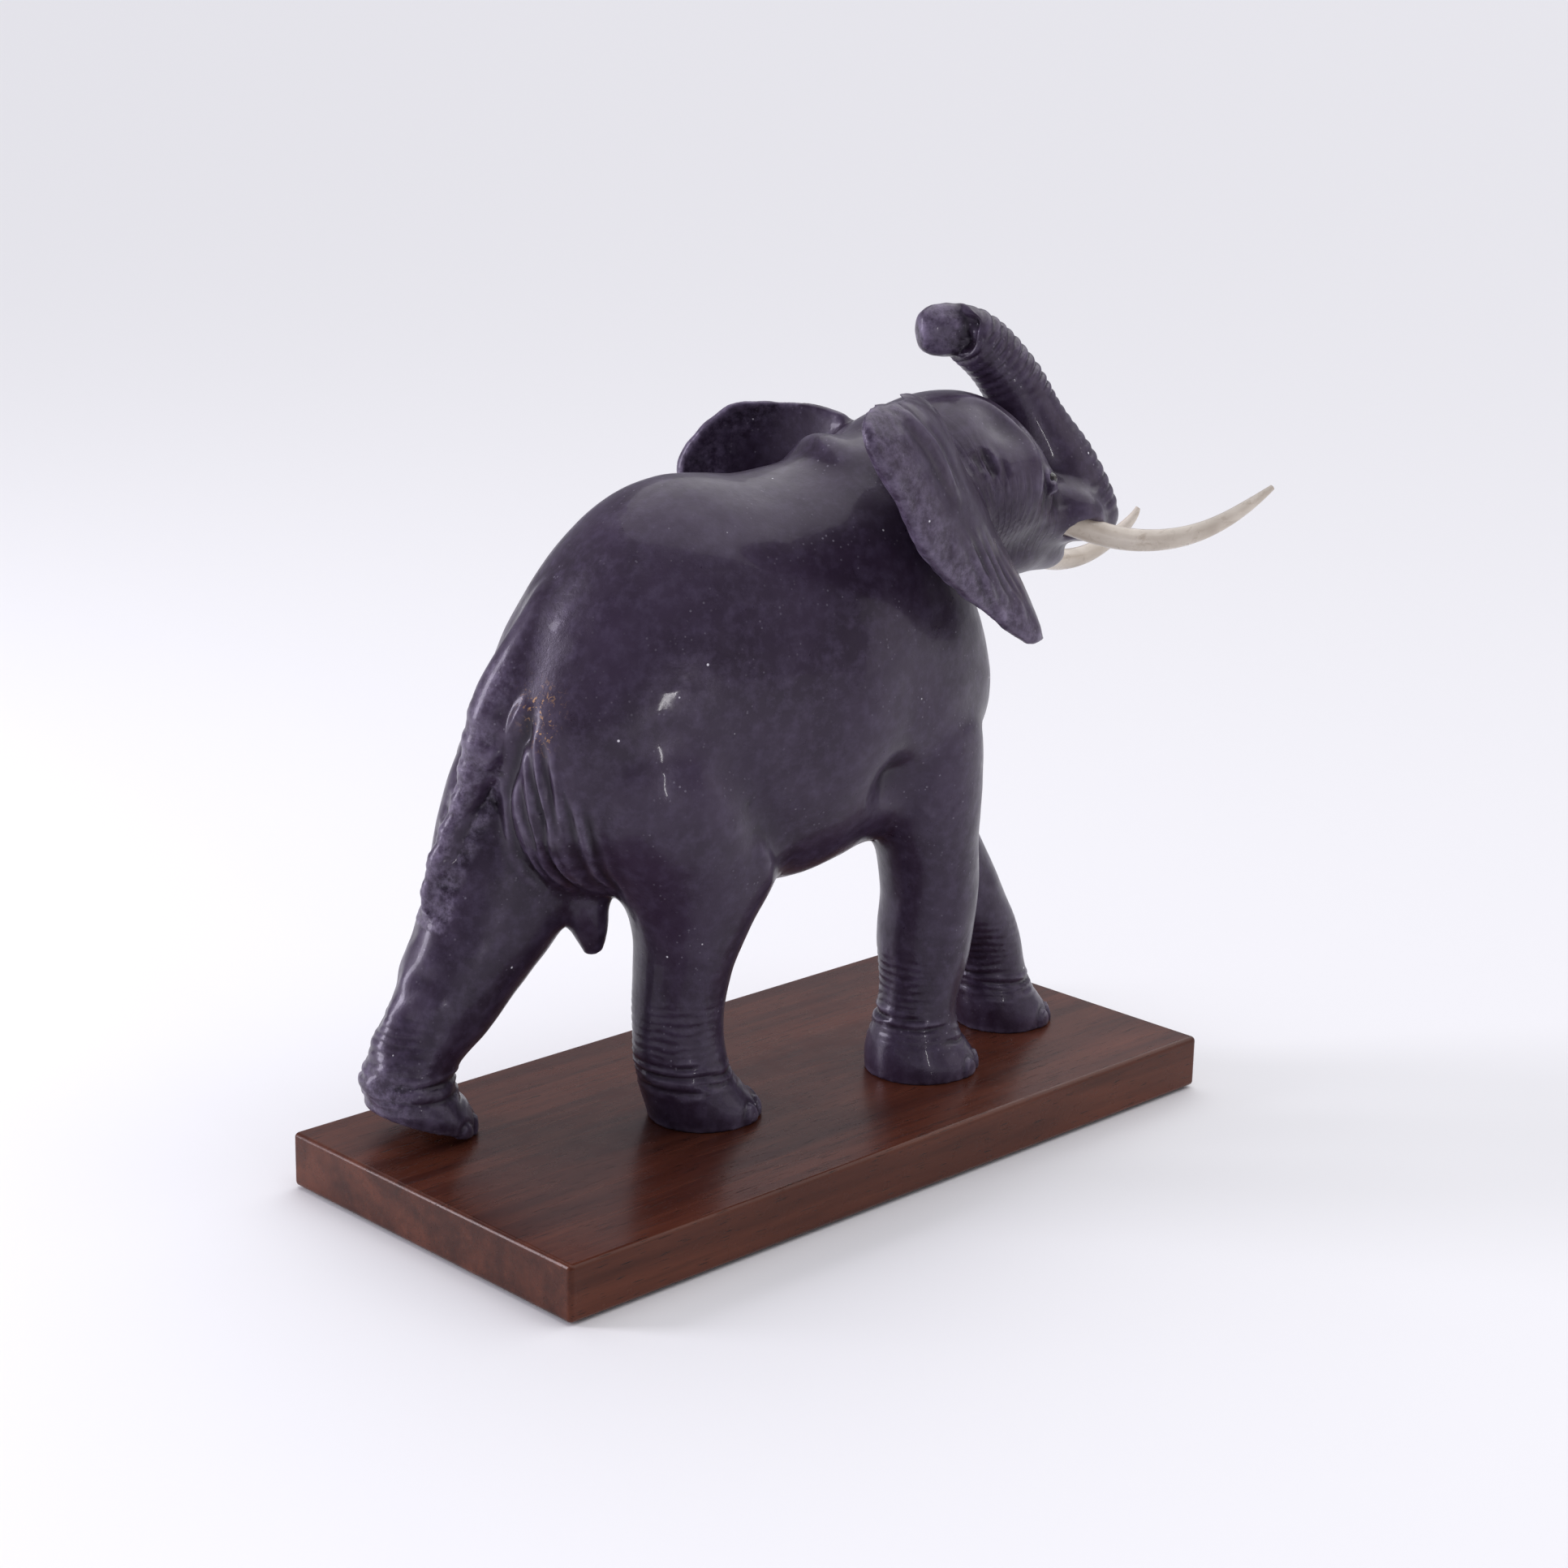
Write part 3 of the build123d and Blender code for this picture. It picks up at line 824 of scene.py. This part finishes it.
def carving_look():
    """Very dense, dark, waxed wood, with violet-black cast, dust in its pores, rubbed edges, painted shade
    in its hollows and a painted highlight on the tail and left heel.
    """
    look = Look("dark_waxed_wood")
    broad = look.noise(38, 3, 0.55)
    mottle = look.noise(4.5, 4, 0.65)
    colour = look.mix(look.span(broad, 0.35, 0.65), (0.019, 0.011, 0.022), (0.034, 0.021, 0.042))
    colour = look.mix(look.span(mottle, 0.45, 0.75), colour, (0.052, 0.037, 0.068))
    # Painted shade: near black in the hollows, where shade falls.
    colour = look.mix(look.maths("MULTIPLY", look.mark("hollow_shade"), 0.7), colour, (0.008, 0.006, 0.008))
    rubbed = look.maths("MULTIPLY", look.mark("edge"), look.span(look.noise(6, 3), 0.35, 0.7))
    colour = look.mix(look.maths("MULTIPLY", rubbed, 0.55), colour, (0.17, 0.14, 0.21))
    # Lilac scuffs: a painted highlight on the tail and left heel, and lighter worn patches on the ear rims
    # and the trunk's finger.
    scuffs_and_highlight = look.span(look.noise(3.2, 6, 0.72), 0.42, 0.72)
    scuffs_and_highlight = look.maths("MULTIPLY", scuffs_and_highlight, look.mark("worn"))
    colour = look.mix(look.maths("MULTIPLY", scuffs_and_highlight, 0.55), colour, (0.34, 0.28, 0.42))
    haze = look.span(look.noise(14, 4, 0.6), 0.48, 0.78)
    dust = look.maths("MULTIPLY", look.dots(1.5, 0.30, 0.22), haze)
    colour = look.mix(look.maths("MULTIPLY", dust, 0.8), colour, (0.22, 0.20, 0.25))
    specks = look.dots(9, 0.055, 0.3)
    colour = look.mix(specks, colour, (0.75, 0.73, 0.78))
    gilt = look.maths("MULTIPLY", look.mark("gilt"), look.span(look.noise(1.6, 3, 0.6, 0.8), 0.58, 0.64))
    colour = look.mix(gilt, colour, (0.48, 0.26, 0.10))
    roughness = look.span(look.noise(7, 4, 0.6), 0.3, 0.7, 0.27, 0.42)
    look.bump(look.noise(2.2, 4, 0.6), 0.08)
    look.bump(look.noise(0.5, 2, 0.5), 0.02)
    look.bump(scuffs_and_highlight, 0.12)
    turns = look.maths("MULTIPLY", look.mark("wrinkle_phase"), math.pi)
    waves = look.maths("ABSOLUTE", look.maths("SINE", turns))
    look.bump(look.maths("MULTIPLY", waves, look.mark("wrinkle_depth")), 0.5)
    return look.finish(colour, roughness, Specular_IOR_Level=0.34, Specular_Tint=(0.88, 0.80, 1, 1),
                       Coat_Weight=0.14, Coat_Roughness=0.06)


def board_look():
    """Polished red-brown mahogany, with its grain along the board."""
    look = Look("mahogany")
    bend = look.noise(90, 2)
    ribbons = look.grain((5, 45, 45), 3, 0.5, 1.2)
    streaks = look.grain((14, 330, 330), 4, 0.6, 0.4)
    pores = look.grain((120, 1900, 1900), 2, 0.5)
    colour = look.mix(look.span(ribbons, 0.35, 0.68), (0.048, 0.013, 0.008), (0.105, 0.030, 0.016))
    colour = look.mix(look.span(streaks, 0.50, 0.74, 0, 0.5), colour, (0.026, 0.008, 0.005))
    colour = look.mix(look.span(streaks, 0.44, 0.26, 0, 0.35), colour, (0.16, 0.050, 0.026))
    pits = look.span(pores, 0.63, 0.70)
    colour = look.mix(look.maths("MULTIPLY", pits, 0.8), colour, (0.007, 0.003, 0.002))
    rubs = look.span(look.noise(3, 5, 0.7, 0.5), 0.66, 0.78)
    colour = look.mix(look.maths("MULTIPLY", rubs, 0.18), colour, (0.22, 0.15, 0.12))
    roughness = look.span(look.maths("ADD", bend, look.noise(9, 4)), 0.7, 1.3, 0.20, 0.34)
    look.bump(streaks, 0.03)
    look.bump(pits, -0.05)
    return look.finish(colour, roughness, Specular_IOR_Level=0.2, Specular_Tint=(1, 0.82, 0.76, 1),
                       Coat_Weight=0.08, Coat_Roughness=0.12)


def tusk_look():
    """Ivory-coloured, with faint long lines, browner in those lines and in small specks."""
    look = Look("pale_tusk")
    lines = look.grain((22, 420, 420), 4, 0.6, 0.3)
    clouds = look.noise(16, 3)
    colour = look.mix(look.span(clouds, 0.35, 0.65), (0.50, 0.43, 0.35), (0.68, 0.61, 0.52))
    colour = look.mix(look.span(lines, 0.55, 0.72, 0, 0.55), colour, (0.33, 0.25, 0.17))
    specks = look.dots(2.2, 0.10, 0.25)
    colour = look.mix(look.maths("MULTIPLY", specks, 0.5), colour, (0.20, 0.14, 0.09))
    look.bump(lines, 0.04)
    roughness = look.span(look.noise(5, 3), 0.3, 0.7, 0.24, 0.40)
    return look.finish(colour, roughness, Coat_Weight=0.2, Coat_Roughness=0.1)


def eye_look():
    """A polished bead, nearly black, with brown clouds."""
    look = Look("dark_bead")
    clouds = look.noise(1.6, 3)
    colour = look.mix(look.span(clouds, 0.4, 0.65), (0.004, 0.003, 0.004), (0.020, 0.011, 0.008))
    roughness = look.span(look.noise(0.8, 3), 0.3, 0.7, 0.06, 0.16)
    look.bump(clouds, 0.01)
    return look.finish(colour, roughness, Coat_Weight=0.5, Coat_Roughness=0.04)


def baize_look():
    """Dark green felt with short fibres."""
    look = Look("green_baize")
    fibres = look.noise(0.7, 5, 0.75, 1.5)
    worn = look.noise(25, 3)
    colour = look.mix(look.span(fibres, 0.35, 0.7), (0.006, 0.030, 0.014), (0.022, 0.085, 0.040))
    colour = look.mix(look.span(worn, 0.55, 0.75, 0, 0.35), colour, (0.06, 0.10, 0.06))
    look.bump(fibres, 0.25)
    roughness = look.span(fibres, 0.3, 0.7, 0.85, 1.0)
    return look.finish(colour, roughness, Specular_IOR_Level=0.2, Sheen_Weight=0.4, Sheen_Roughness=0.5)


def screw_look():
    """Brass, a little tarnished."""
    look = Look("tarnished_brass")
    tarnish = look.noise(3, 5, 0.65)
    colour = look.mix(look.span(tarnish, 0.42, 0.66), (0.60, 0.40, 0.14), (0.20, 0.12, 0.05))
    scratches = look.grain((1800, 250, 250), 3, 0.5)
    look.bump(scratches, 0.02)
    roughness = look.span(tarnish, 0.3, 0.7, 0.22, 0.50)
    return look.finish(colour, roughness, Metallic=1.0)


def floor_look():
    """Plain pale paper."""
    material = bpy.data.materials.new("pale_floor")
    material.use_nodes = True
    shader = material.node_tree.nodes["Principled BSDF"]
    shader.inputs["Base Color"].default_value = (0.84, 0.84, 0.85, 1)
    shader.inputs["Roughness"].default_value = 0.7
    return material


def dress(piece, material):
    piece.data.materials.clear()
    piece.data.materials.append(material)


# ---------------------------------------------------------------- stage, lights and camera
FLOOR_REACH = 30.0

SUN_AIM, SUN_STRENGTH, SUN_ANGLE = (-0.42, -0.04, -0.91), 2.15, 90
WORLD_COLOUR, WORLD_STRENGTH = (0.88, 0.86, 1.0, 1), 0.36
# Every lamp points at the middle of the figure: name, place, width and height, watts, colour.
LAMPS_AIM = (0, 0, 0.13)
LAMPS = [
    ("window", (0.95, -1.15, 0.53), (1.0, 0.84), 1.9, (1.0, 0.97, 0.93)),
    ("strip", (-0.42, -1.45, 0.16), (0.02, 0.28), 1.5, (1.0, 0.98, 1.0)),
    ("rim", (-1.12, 0.98, 0.55), (0.4, 0.9), 16, (0.93, 0.90, 1.0)),
]

CAMERA_PLACE = (-0.68478, -0.70161, 0.40171)
CAMERA_AIM = (0.67520, 0.68676, -0.26918)
CAMERA_ROLL = math.radians(1.195)
CAMERA_LENS, CAMERA_SENSOR = 68.92, 36.0


def add_stage():
    mesh = bpy.data.meshes.new("floor")
    corners = [(-1, -1), (1, -1), (1, 1), (-1, 1)]
    mesh.from_pydata([(x * FLOOR_REACH, y * FLOOR_REACH, 0) for x, y in corners], [], [(0, 1, 2, 3)])
    floor = bpy.data.objects.new("floor", mesh)
    bpy.context.scene.collection.objects.link(floor)
    mesh.materials.append(floor_look())


def add_lamp(name, place, size, watts, colour):
    data = bpy.data.lights.new(name, "AREA")
    data.shape = "RECTANGLE"
    data.size, data.size_y = size
    data.energy = watts
    data.color = colour
    light = bpy.data.objects.new(name, data)
    light.location = place
    light.rotation_mode = "QUATERNION"
    light.rotation_quaternion = (Vector(LAMPS_AIM) - Vector(place)).to_track_quat("-Z", "Y")
    bpy.context.scene.collection.objects.link(light)


def add_camera():
    forward = Vector(CAMERA_AIM).normalized()
    flat_right = forward.cross(Vector((0, 0, 1))).normalized()
    flat_up = flat_right.cross(forward)
    right = flat_right * math.cos(CAMERA_ROLL) + flat_up * math.sin(CAMERA_ROLL)
    up = flat_up * math.cos(CAMERA_ROLL) - flat_right * math.sin(CAMERA_ROLL)
    data = bpy.data.cameras.new("camera")
    data.lens = CAMERA_LENS
    data.sensor_width = CAMERA_SENSOR
    camera = bpy.data.objects.new("camera", data)
    turn = Matrix((right, up, -forward)).transposed().to_4x4()
    camera.matrix_world = Matrix.Translation(CAMERA_PLACE) @ turn
    bpy.context.scene.collection.objects.link(camera)
    bpy.context.scene.camera = camera


def add_sun():
    """A very broad sun, which stands for a lit ceiling."""
    data = bpy.data.lights.new("overhead", "SUN")
    data.energy = SUN_STRENGTH
    data.angle = math.radians(SUN_ANGLE)
    light = bpy.data.objects.new("overhead", data)
    light.rotation_mode = "QUATERNION"
    light.rotation_quaternion = Vector(SUN_AIM).to_track_quat("-Z", "Y")
    bpy.context.scene.collection.objects.link(light)


def add_world():
    world = bpy.data.worlds.new("studio")
    bpy.context.scene.world = world
    world.use_nodes = True
    background = world.node_tree.nodes["Background"]
    background.inputs["Color"].default_value = WORLD_COLOUR
    background.inputs["Strength"].default_value = WORLD_STRENGTH


def dress_nodes(nodes):
    """Materials for the CAD parts that are kept as they are."""
    looks = {"board": board_look(), "underlay": baize_look(), "tusk": tusk_look(), "eye": eye_look(),
             "screw": screw_look()}
    for name, piece in nodes.items():
        kind = name.split("_")[-1]
        if kind in looks:
            dress(piece, looks[kind])


# ---------------------------------------------------------------- the scene
dress(sculpt_body(), carving_look())
dress_nodes(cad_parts)

add_stage()
add_camera()
add_sun()
for lamp in LAMPS:
    add_lamp(*lamp)
add_world()
bpy.context.scene.view_settings.view_transform = "Standard"
